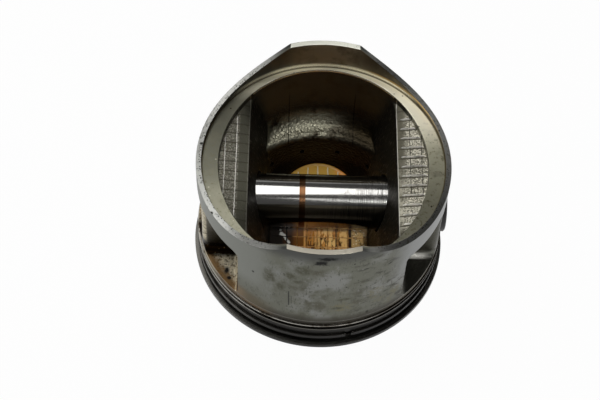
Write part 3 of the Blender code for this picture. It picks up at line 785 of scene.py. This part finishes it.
def skin(name, runs, ring=False):
    """Skins runs of matching sections, each a loop of points; a run gets end caps unless it is a ring."""
    draft = bmesh.new()
    for sections in runs:
        loops = [[draft.verts.new(point) for point in section] for section in sections]
        pairs = list(zip(loops, loops[1:]))
        if ring:
            pairs.append((loops[-1], loops[0]))
        for lower, upper in pairs:
            for i in range(len(lower)):
                j = (i + 1) % len(lower)
                draft.faces.new((lower[i], lower[j], upper[j], upper[i]))
        if not ring:
            draft.faces.new(loops[0])
            draft.faces.new(loops[-1])
    return as_object(name, draft)


def rounded(corner_before, corner, corner_after, reach, steps=3):
    """Points of a small round at a profile corner."""
    corner = Vector(corner)
    start = corner + (Vector(corner_before) - corner).normalized() * reach
    end = corner + (Vector(corner_after) - corner).normalized() * reach
    points = []
    for i in range(steps + 1):
        t = i / steps
        points.append(tuple(start * (1 - t) ** 2 + corner * 2 * t * (1 - t) + end * t ** 2))
    return points


def casting_profile():
    """Turned outside and register of the casting, its outer corners slightly rounded."""
    sharp = [(0, 0), (LAND_RADIUS, 0)]
    for low, high, above in RING_GROOVES:
        sharp += [(LAND_RADIUS, low), (GROOVE_FLOOR, low), (GROOVE_FLOOR, high), (above, high)]
    sharp += [
        (BELT_RADIUS, BELT_TOP - 1.5), (SKIRT_RADIUS - 0.125, BELT_TOP), (SKIRT_RADIUS, BELT_TOP + 5.0),
        (SKIRT_RADIUS, HEIGHT), (REGISTER_RADIUS, HEIGHT), (REGISTER_RADIUS, LEDGE), (0, LEDGE),
    ]
    profile = [sharp[0]]
    for before, corner, after in zip(sharp, sharp[1:], sharp[2:]):
        turned_in = corner[0] == GROOVE_FLOOR or corner == (REGISTER_RADIUS, LEDGE)
        profile += [corner] if turned_in else rounded(before, corner, after, CORNER_ROUND)
    profile.append(sharp[-1])
    return profile


def well_outline(z, strip, across, along):
    """Level outline of the well: an oval cut off by two flats, its corners rounded."""
    turns = []
    ends = (0, WELL_CORNER_FROM, WELL_CORNER_TO, math.pi / 2)
    for start, end, steps in zip(ends, ends[1:], (14, 16, 14)):
        turns += [start + (end - start) * (i + 0.5) / steps for i in range(steps)]
    turns += [math.pi - turn for turn in reversed(turns)]
    turns += [math.pi + turn for turn in turns]
    points = []
    for turn in turns:
        reach = well_reach(turn, strip, across, along)
        points.append((reach * math.cos(turn), reach * math.sin(turn), z))
    return points


def well_reach(turn, strip, across, along):
    side = abs(math.cos(turn))
    front = abs(math.sin(turn))
    flat = (side / strip) ** WELL_CORNER_POWER
    oval = math.hypot(side / across, front / along) ** WELL_CORNER_POWER
    return (flat + oval) ** (-1 / WELL_CORNER_POWER)


def well_strip(z):
    """Half the gap between the boss faces at a level."""
    if z > PIN_AXIS:
        return BOSS_HALF_GAP + (z - PIN_AXIS) * math.tan(BOSS_FACE_DRAFT)
    share = (z - CROWN_INSIDE) / (PIN_AXIS - CROWN_INSIDE)
    return FLOOR_HALF_WIDTH + (BOSS_HALF_GAP - FLOOR_HALF_WIDTH) * share


def quarter_turn(steps, count):
    """(sine, 1 - cosine) of the first so many angles of a quarter turn in even steps."""
    turns = [math.pi / 2 * i / steps for i in range(count)]
    return [(math.sin(turn), 1 - math.cos(turn)) for turn in turns]


def well_levels():
    """(z, half width, half length) of the well's ends, from the floor fillet to the boss tops."""
    levels = []
    for sine, fall in quarter_turn(6, 6):
        inset = FLOOR_FILLET * (1 - sine)
        levels.append((CROWN_INSIDE + FLOOR_FILLET * fall, FLOOR_END_ROUND - inset, BELT_INSIDE - inset))
    bowl_low = CROWN_INSIDE + FLOOR_FILLET
    wall_top = SHOULDER - SHOULDER_DROP
    bowl_top = wall_top - BOWL_HEIGHT
    wide = (FLOOR_END_ROUND + 2 * BELT_INSIDE) / 3
    for share in (0, 0.25, 0.5, 0.75):
        across = FLOOR_END_ROUND + (wide - FLOOR_END_ROUND) * share
        levels.append((bowl_low + (bowl_top - bowl_low) * share, across, BELT_INSIDE))
    for i in range(8):
        share = i / 8
        levels.append((bowl_top + BOWL_HEIGHT * share, wide + (BELT_INSIDE - wide) * share, BELT_INSIDE))
    for sine, fall in quarter_turn(9, 9):
        reach = BELT_INSIDE + SHOULDER_LIP * fall
        levels.append((wall_top + SHOULDER_DROP * sine, reach, reach))
    lip = BELT_INSIDE + SHOULDER_LIP
    for sine, fall in quarter_turn(16, 17):
        across = lip + (OVAL_ACROSS - lip) * sine
        along = lip + (OVAL_ALONG - lip) * sine
        levels.append((SHOULDER + SHOULDER_SWEEP * fall, across, along))
    start = SHOULDER + SHOULDER_SWEEP
    for i in range(1, 6):
        levels.append((start + (BOSS_TOP - start) * i / 5, OVAL_ACROSS, OVAL_ALONG))
    return levels


def well_cutter():
    sections = [well_outline(z, well_strip(z), across, along) for z, across, along in well_levels()]
    far = 2 * SKIRT_RADIUS
    slope_top = BOSS_TOP + BOSS_TOP_RISE
    inner = well_outline(BOSS_TOP, well_strip(BOSS_TOP), OVAL_ACROSS, OVAL_ALONG)
    outer = well_outline(slope_top, far, OVAL_ACROSS, OVAL_ALONG)
    for share in (1 / 3, 2 / 3):
        sections.append([tuple(Vector(a).lerp(Vector(b), share)) for a, b in zip(inner, outer)])
    for z, wider in ((slope_top, 0), (LEDGE - 0.15, 0), (LEDGE, 0.15), (LEDGE + 10, 0.15)):
        sections.append(well_outline(z, far, OVAL_ACROSS + wider, OVAL_ALONG + wider))
    return skin("well_cutter", [sections])


def rim_relief_cutter(side):
    """Cylinder along Y that scoops the open end down on one pin side."""
    run = SKIRT_RADIUS - TONGUE_HALF_WIDTH
    radius = (run * run + RIM_RELIEF * RIM_RELIEF) / (2 * RIM_RELIEF)
    scoop = bmesh.new()
    bmesh.ops.create_cone(
        scoop, cap_ends=True, segments=360, radius1=radius, radius2=radius, depth=2 * FAR,
        matrix=Matrix.Translation((side * SKIRT_RADIUS, 0, HEIGHT - RIM_RELIEF + radius))
        @ Matrix.Rotation(math.pi / 2, 4, "X"),
    )
    return as_object("rim_relief_cutter", scoop)


def pocket_cutter(side):
    """Everything outside the bosses and struts on one side, from the belt to the strap."""
    outline = [
        (FAR, -FAR), (FAR, FAR), (PANEL_HALF_WIDTH, FAR), (PANEL_HALF_WIDTH, BOSS_HALF_WIDTH),
        (BOSS_FACE, BOSS_HALF_WIDTH), (BOSS_FACE, -BOSS_HALF_WIDTH),
        (PANEL_HALF_WIDTH, -BOSS_HALF_WIDTH), (PANEL_HALF_WIDTH, -FAR),
    ]
    item = skin("pocket_cutter", [[[(side * x, y, z) for x, y in outline] for z in (BELT_TOP, STRAP_LOW)]])
    fillet = item.modifiers.new("fillet", "BEVEL")
    fillet.width = POCKET_FILLET
    fillet.segments = 6
    fillet.limit_method = "ANGLE"
    fillet.angle_limit = math.radians(40)
    return item


def pin_bore_cutter():
    """Turned tool for both boss bores: mouth chamfers and the two clip grooves."""
    inner = BOSS_HALF_GAP + PIN_RADIUS * math.tan(BOSS_FACE_DRAFT)
    groove = BORE_RADIUS + CLIP_GROOVE_DEPTH
    mouth = BORE_RADIUS + BOSS_FACE_CHAMFER
    half_side = [
        (inner, BORE_RADIUS + BORE_CHAMFER), (inner + BORE_CHAMFER, BORE_RADIUS),
        (CLIP_FROM, BORE_RADIUS), (CLIP_FROM, groove), (CLIP_TO, groove), (CLIP_TO, BORE_RADIUS),
        (BOSS_FACE - BOSS_FACE_CHAMFER, BORE_RADIUS), (BOSS_FACE, mouth), (FAR, mouth), (FAR, 0),
    ]
    left_side = [(-x, r) for x, r in reversed(half_side)]
    item = revolve("pin_bore_cutter", [(r, x) for x, r in left_side + half_side], BORE_STEPS)
    item.rotation_euler = (0, math.pi / 2, 0)
    item.location = (0, 0, PIN_AXIS)
    return item


def drain_cutter():
    """Four small drills on each thrust side, through the floor of the oil ring's groove."""
    drill = bmesh.new()
    inner = BELT_INSIDE - 10
    outer = GROOVE_FLOOR + 1.35
    middle = Matrix.Translation(((inner + outer) / 2, 0, DRAIN_Z))
    for thrust in (math.pi / 2, -math.pi / 2):
        for i in range(DRAINS_PER_SIDE):
            turn = thrust + (i - (DRAINS_PER_SIDE - 1) / 2) * DRAIN_ANGLE
            bmesh.ops.create_cone(
                drill, cap_ends=True, segments=20, radius1=DRAIN_RADIUS, radius2=DRAIN_RADIUS,
                depth=outer - inner,
                matrix=Matrix.Rotation(turn, 4, "Z") @ middle @ Matrix.Rotation(math.pi / 2, 4, "Y"),
            )
    return as_object("drain_cutter", drill)


def take_away(body, cutters):
    for cutter in cutters:
        step = body.modifiers.new(cutter.name, "BOOLEAN")
        step.operation = "DIFFERENCE"
        step.solver = "EXACT"
        step.object = cutter
    graph = bpy.context.evaluated_depsgraph_get()
    cut_mesh = bpy.data.meshes.new_from_object(body.evaluated_get(graph))
    body.modifiers.clear()
    body.data = cut_mesh
    for cutter in cutters:
        bpy.data.objects.remove(cutter, do_unlink=True)


def casting(turned, cast, well):
    """The whole casting again, in finer steps than the frame's, in the same place."""
    body = revolve("piston_casting", casting_profile(), CASTING_STEPS)
    for corner in body.data.vertices:
        outside = math.hypot(corner.co.x, corner.co.y) > REGISTER_RADIUS + 0.25
        if outside and corner.co.z > BELT_TOP - 0.75:
            corner.co.x *= 1 - SKIRT_OVALITY / SKIRT_RADIUS
    cutters = [rim_relief_cutter(-1), rim_relief_cutter(1), pocket_cutter(-1), pocket_cutter(1)]
    cutters += [well_cutter(), pin_bore_cutter(), drain_cutter()]
    take_away(body, cutters)
    kinds = [surface_kind(face) for face in body.data.polygons]
    dress(body, (turned, cast, well), 30)
    for face, kind in zip(body.data.polygons, kinds):
        face.material_index = kind
    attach(body, "piston")
    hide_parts("piston_body")


def surface_kind(face):
    """0 for a turned face, 1 for a cast one outside the well, 2 for one inside it."""
    x, y, z = face.center
    radius = math.hypot(x, y)
    if z > LEDGE - 0.12 or z < CROWN_INSIDE - 0.1:
        return 0
    inside_panel = abs(x) < PANEL_HALF_WIDTH - 0.1
    in_pocket = abs(x) > PANEL_HALF_WIDTH - POCKET_FILLET and BELT_TOP - 0.05 < z < STRAP_LOW + 0.05
    if in_pocket and radius < BELT_RADIUS + 0.3 and (abs(face.normal.x) < 0.99 or not inside_panel):
        slanted = face.normal.x * x < 0 and radius < 42.0 and inside_panel
        if not slanted:
            return 1
    if radius > REGISTER_RADIUS - 0.2 or radius > GROOVE_FLOOR - 0.1 and z < BELT_TOP:
        return 0
    if z > BOSS_TOP - 0.01 and abs(x) > 26:
        return 1
    return 2


def dress(item, looks, sharp_degrees):
    """Scales a mesh made in millimetres, smooths it and gives it its materials."""
    item.data.transform(Matrix.Scale(MM, 4))
    item.data.materials.clear()
    for look in looks:
        item.data.materials.append(look)
    item.data.shade_smooth()
    item.data.set_sharp_from_angle(angle=math.radians(sharp_degrees))
    even = item.modifiers.new("even_normals", "WEIGHTED_NORMAL")
    even.keep_sharp = True


def rib(path, half_width, height, seed):
    """Cross sections of one uneven low ridge, along a path of points."""
    chance = random.Random(seed)
    sections = []
    for i, point in enumerate(path):
        before = Vector(path[max(i - 1, 0)])
        after = Vector(path[min(i + 1, len(path) - 1)])
        across = (after - before).normalized().cross(UP).normalized()
        base = Vector(point) + across * chance.uniform(-0.08, 0.08)
        tall = height * chance.uniform(0.6, 1.15)
        wide = half_width * chance.uniform(0.8, 1.2)
        if i in (0, len(path) - 1):
            tall = 0.02
        shape = ((-1, -0.25), (-0.45, tall * 0.75), (0, tall), (0.45, tall * 0.75), (1, -0.25))
        sections.append([base + across * wide * share + UP * rise for share, rise in shape])
    return sections


def ribs(name, paths, seed, half_width=RIB_HALF_WIDTH):
    """One mesh of ridges on (path, height) pairs; each ridge has a seed of its own."""
    runs = [rib(path, half_width, height, seed + i) for i, (path, height) in enumerate(paths)]
    return skin(name, runs)


def on_boss_top(side, x, y):
    turn = math.atan2(abs(y), abs(x))
    inner = well_reach(turn, well_strip(BOSS_TOP), OVAL_ACROSS, OVAL_ALONG)
    outer = well_reach(turn, 2 * SKIRT_RADIUS, OVAL_ACROSS, OVAL_ALONG)
    share = (math.hypot(x, y) - inner) / max(outer - inner, 0.01)
    return side * x, y, BOSS_TOP + BOSS_TOP_RISE * min(max(share, 0), 1)


def half_chord(place, half_axis, chord_half_axis):
    """Half the length of an oval's chord that crosses an axis at a place."""
    return chord_half_axis * math.sqrt(max(1 - (place / half_axis) ** 2, 0))


def sampled(start, end, step):
    count = max(2, round(abs(end - start) / step))
    return [start + (end - start) * i / count for i in range(count + 1)]


def boss_top_cross_ribs(name, side, height, seed):
    paths = []
    for k in range(-6, 6):
        y = FIRST_RIB_Y + RIB_SPACING * k
        end = half_chord(y, OVAL_ALONG, OVAL_ACROSS) - 0.3
        if end > 30.5:
            paths.append(([on_boss_top(side, x, y) for x in sampled(28.4, end, RIB_STEP)], height))
    return ribs(name, paths, seed)


def boss_top_long_ribs(name, side, height, seed):
    paths = []
    for x in LONG_RIBS_AT:
        reach = half_chord(x, OVAL_ACROSS, OVAL_ALONG) - 1.5
        paths.append(([on_boss_top(side, x, y) for y in sampled(-reach, reach, RIB_STEP)], height))
    return ribs(name, paths, seed, LONG_RIB_HALF_WIDTH)


def floor_ribs(seed):
    paths = []
    for x in FLOOR_LONG_RIBS_AT:
        reach = half_chord(x, 19.4, 31.5)
        path = [(x, y, CROWN_INSIDE) for y in sampled(-reach, reach, FLOOR_RIB_STEP)]
        paths.append((path, FLOOR_LONG_RIB_HEIGHT))
    for y in FLOOR_CROSS_RIBS_AT:
        reach = half_chord(y, 32.0, 18.0)
        path = [(x, y, CROWN_INSIDE) for x in sampled(-reach, reach, FLOOR_RIB_STEP)]
        paths.append((path, FLOOR_CROSS_RIB_HEIGHT))
    return ribs("floor_ribs", paths, seed)


def place_ribs(item, look):
    dress(item, [look], 60)
    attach(item, "piston")


def pin():
    """The hollow wrist pin in finer steps than the frame's, in the same place."""
    half = PIN_LENGTH / 2
    rim = [
        (PIN_HOLE_RADIUS, half - PIN_CHAMFER), (PIN_HOLE_RADIUS + PIN_CHAMFER, half),
        (PIN_RADIUS - PIN_CHAMFER / 2, half), (PIN_RADIUS, half - PIN_CHAMFER / 2),
    ]
    profile = rim + [(r, -x) for r, x in reversed(rim)]
    sections = []
    for i in range(PIN_STEPS):
        turn = 2 * math.pi * i / PIN_STEPS
        sections.append([
            (x + PIN_PUSHED_OUT, r * math.cos(turn), r * math.sin(turn) + PIN_AXIS) for r, x in profile
        ])
    return skin("wrist_pin_fine", [sections], ring=True)


def split_ring(name, inner, outer, thickness, chamfer, gap, gap_at, z):
    """A flat ring with rounded outer edges, swept round the piston; its gap lies at one angle."""
    sharp = [(inner, 0), (outer, 0), (outer, thickness), (inner, thickness)]
    profile = [sharp[0]] + rounded(*sharp[0:3], chamfer) + rounded(*sharp[1:4], chamfer) + [sharp[3]]
    open_angle = gap / max(r for r, _ in profile)
    sections = []
    for i in range(RING_STEPS + 1):
        turn = gap_at + open_angle / 2 + (2 * math.pi - open_angle) * i / RING_STEPS
        sections.append([(r * math.cos(turn), r * math.sin(turn), h + z) for r, h in profile])
    return skin(name, [sections])


def compression_ring(name, spring, gap, gap_at, z):
    sprung = SKIRT_RADIUS + spring
    inner = sprung - RING_DEPTH
    outer = sprung - RING_STEPS_SLACK
    return split_ring(name, inner, outer, RING_THICKNESS, RING_CHAMFER, gap, gap_at, z)


def oil_rail(name, gap_at, z):
    outer = SKIRT_RADIUS + RAIL_SPRING
    return split_ring(name, outer - RAIL_DEPTH, outer, RAIL_THICKNESS, RAIL_CHAMFER, RAIL_GAP, gap_at, z)


def stand_in(item, look, node, body):
    """Puts a finer copy in the place of a frame node."""
    dress(item, [look], 25)
    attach(item, body)
    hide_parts(node)


def pin_and_rings():
    stand_in(pin(), pin_look(), "wrist_pin", "pin")
    top_iron = ring_look("dark_top_ring_iron", (0.03, 0.028, 0.025), (0.12, 0.115, 0.1))
    top = compression_ring("top_ring_fine", *TOP_RING)
    stand_in(top, top_iron, "top_ring", "ring_top")
    second_iron = ring_look("grey_second_ring_iron", (0.036, 0.033, 0.029), (0.13, 0.12, 0.105))
    second = compression_ring("second_ring_fine", *SECOND_RING)
    stand_in(second, second_iron, "second_ring", "ring_second")
    steel = rail_look()
    crown_rail = oil_rail("crown_rail_fine", *CROWN_RAIL)
    stand_in(crown_rail, steel, "oil_rail_crown_side", "rail_crown_side")
    skirt_rail = oil_rail("skirt_rail_fine", *SKIRT_RAIL)
    stand_in(skirt_rail, steel, "oil_rail_skirt_side", "rail_skirt_side")


def assign(nodes, look):
    for node in nodes:
        item = frame["nodes"][node]
        if not item.material_slots:
            item.data.materials.append(look)
        for material_slot in item.material_slots:
            material_slot.link = "OBJECT"
            material_slot.material = look


def floor():
    """White floor that keeps a soft shadow; part of its light is its own, for the camera."""
    sheet = bmesh.new()
    bmesh.ops.create_grid(sheet, x_segments=8, y_segments=8, size=STAGE_HALF_SIZE)
    item = as_object("studio_floor", sheet, closed=False)
    material = bpy.data.materials.new("white_floor")
    material.use_nodes = True
    nodes = material.node_tree.nodes
    link = material.node_tree.links.new
    nodes.clear()
    paper = nodes.new("ShaderNodeBsdfDiffuse")
    paper.inputs["Color"].default_value = (0.92, 0.92, 0.92, 1.0)
    glow = nodes.new("ShaderNodeEmission")
    rays = nodes.new("ShaderNodeLightPath")
    either = nodes.new("ShaderNodeMath")
    either.operation = "MAXIMUM"
    share = nodes.new("ShaderNodeMath")
    share.operation = "MULTIPLY"
    share.inputs[1].default_value = 0.97
    blend = nodes.new("ShaderNodeMixShader")
    out = nodes.new("ShaderNodeOutputMaterial")
    link(rays.outputs["Is Camera Ray"], either.inputs[0])
    link(rays.outputs["Is Glossy Ray"], either.inputs[1])
    link(either.outputs[0], share.inputs[0])
    for node, socket in zip((share, paper, glow), blend.inputs):
        link(node.outputs[0], socket)
    link(blend.outputs[0], out.inputs["Surface"])
    item.data.materials.append(material)


def world():
    """White round the horizon, like a studio sweep, and dark grey overhead."""
    sky = bpy.data.worlds.new("studio")
    bpy.context.scene.world = sky
    sky.use_nodes = True
    nodes = sky.node_tree.nodes
    link = sky.node_tree.links.new
    background = nodes["Background"]
    coords = nodes.new("ShaderNodeTexCoord")
    split = nodes.new("ShaderNodeSeparateXYZ")
    fade = nodes.new("ShaderNodeMapRange")
    fade.interpolation_type = "SMOOTHSTEP"
    for name, value in (("From Min", 0.10), ("From Max", 0.40), ("To Min", 1.0), ("To Max", 0.08)):
        fade.inputs[name].default_value = value
    link(coords.outputs["Generated"], split.inputs[0])
    link(split.outputs["Z"], fade.inputs["Value"])
    link(fade.outputs[0], background.inputs["Color"])


def hang(lamp, place, target):
    item = placed(lamp.name, lamp)
    item.location = place
    aim = Vector(target) - Vector(place)
    item.rotation_euler = aim.to_track_quat("-Z", "Y").to_euler()


def softbox(name, place, width, depth, radiance):
    lamp = bpy.data.lights.new(name, "AREA")
    lamp.shape = "RECTANGLE"
    lamp.size = width
    lamp.size_y = depth
    lamp.energy = radiance * math.pi * width * depth
    hang(lamp, place, LIT_MIDDLE)


def snoot(name, place, target, power):
    """A narrow soft-edged lamp that reaches the inside of the crown past the pin."""
    lamp = bpy.data.lights.new(name, "SPOT")
    lamp.energy = power
    lamp.spot_size = SNOOT_ANGLE
    lamp.spot_blend = 0.8
    lamp.shadow_soft_size = 0.02
    hang(lamp, place, target)


def lamps():
    softbox("overhead_softbox", (-0.17, 0.117, 0.64), 0.55, 0.53, 2.3)
    softbox("back_softbox", (-0.15, 0.74, 0.52), 0.90, 0.26, 0.28)
    softbox("left_softbox", (-0.80, 0.05, 0.45), 0.30, 0.40, 1.5)
    softbox("front_softbox", (0.16, -0.270, 0.60), 0.29, 0.21, 1.2)
    snoot("crown_snoot", (0.12, -0.325, 0.60), (0.005, -0.008, 0.008), 9.0)


def camera():
    back = Vector((
        math.sin(CAMERA_AZIMUTH) * math.cos(CAMERA_ELEVATION),
        -math.cos(CAMERA_AZIMUTH) * math.cos(CAMERA_ELEVATION),
        math.sin(CAMERA_ELEVATION),
    ))
    ahead = -back
    right = ahead.cross(UP).normalized()
    level = Matrix((right, right.cross(ahead), ahead))
    roll = Matrix.Rotation(-CAMERA_ROLL, 3, "Z")
    aim = Vector((AIM_PIXELS[0] / FOCAL_PIXELS, -AIM_PIXELS[1] / FOCAL_PIXELS, 1.0)).normalized()
    swing = UP.rotation_difference(aim).to_matrix()
    rows = swing @ roll @ level
    lens = bpy.data.cameras.new("camera")
    lens.sensor_width = SENSOR_MM
    lens.lens = FOCAL_PIXELS / FRAME_PIXELS * SENSOR_MM
    lens.clip_start = 0.01
    item = placed("camera", lens)
    turn = Matrix((rows[0], rows[1], -rows[2])).transposed().to_4x4()
    item.matrix_world = Matrix.Translation(CAMERA_PLACE) @ turn
    bpy.context.scene.camera = item


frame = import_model()

cast = cast_look()
well = well_look()
light_ridge = ridge_look("worn_and_painted_highlight_ridges", (0.95, 0.92, 0.84))
oily_ridge = ridge_look("varnished_ridges", (0.60, 0.30, 0.085), varnished=True)
casting(turned_look(), cast, well)
# The ridges that catch the light get the pale ridge look, pale from wear and as a painted highlight; the
# others get the cast look.
place_ribs(boss_top_cross_ribs("cross_ribs_left", -1, height=0.14, seed=10), cast)
place_ribs(boss_top_long_ribs("long_ribs_left", -1, height=0.20, seed=30), light_ridge)
place_ribs(boss_top_cross_ribs("cross_ribs_right", 1, height=0.60, seed=40), light_ridge)
place_ribs(boss_top_long_ribs("long_ribs_right", 1, height=0.16, seed=60), cast)
place_ribs(floor_ribs(seed=80), oily_ridge)
pin_and_rings()
assign(["oil_expander", "retaining_clip"], spring_look())

world()
floor()
lamps()
camera()
bpy.context.scene.view_settings.view_transform = "Standard"
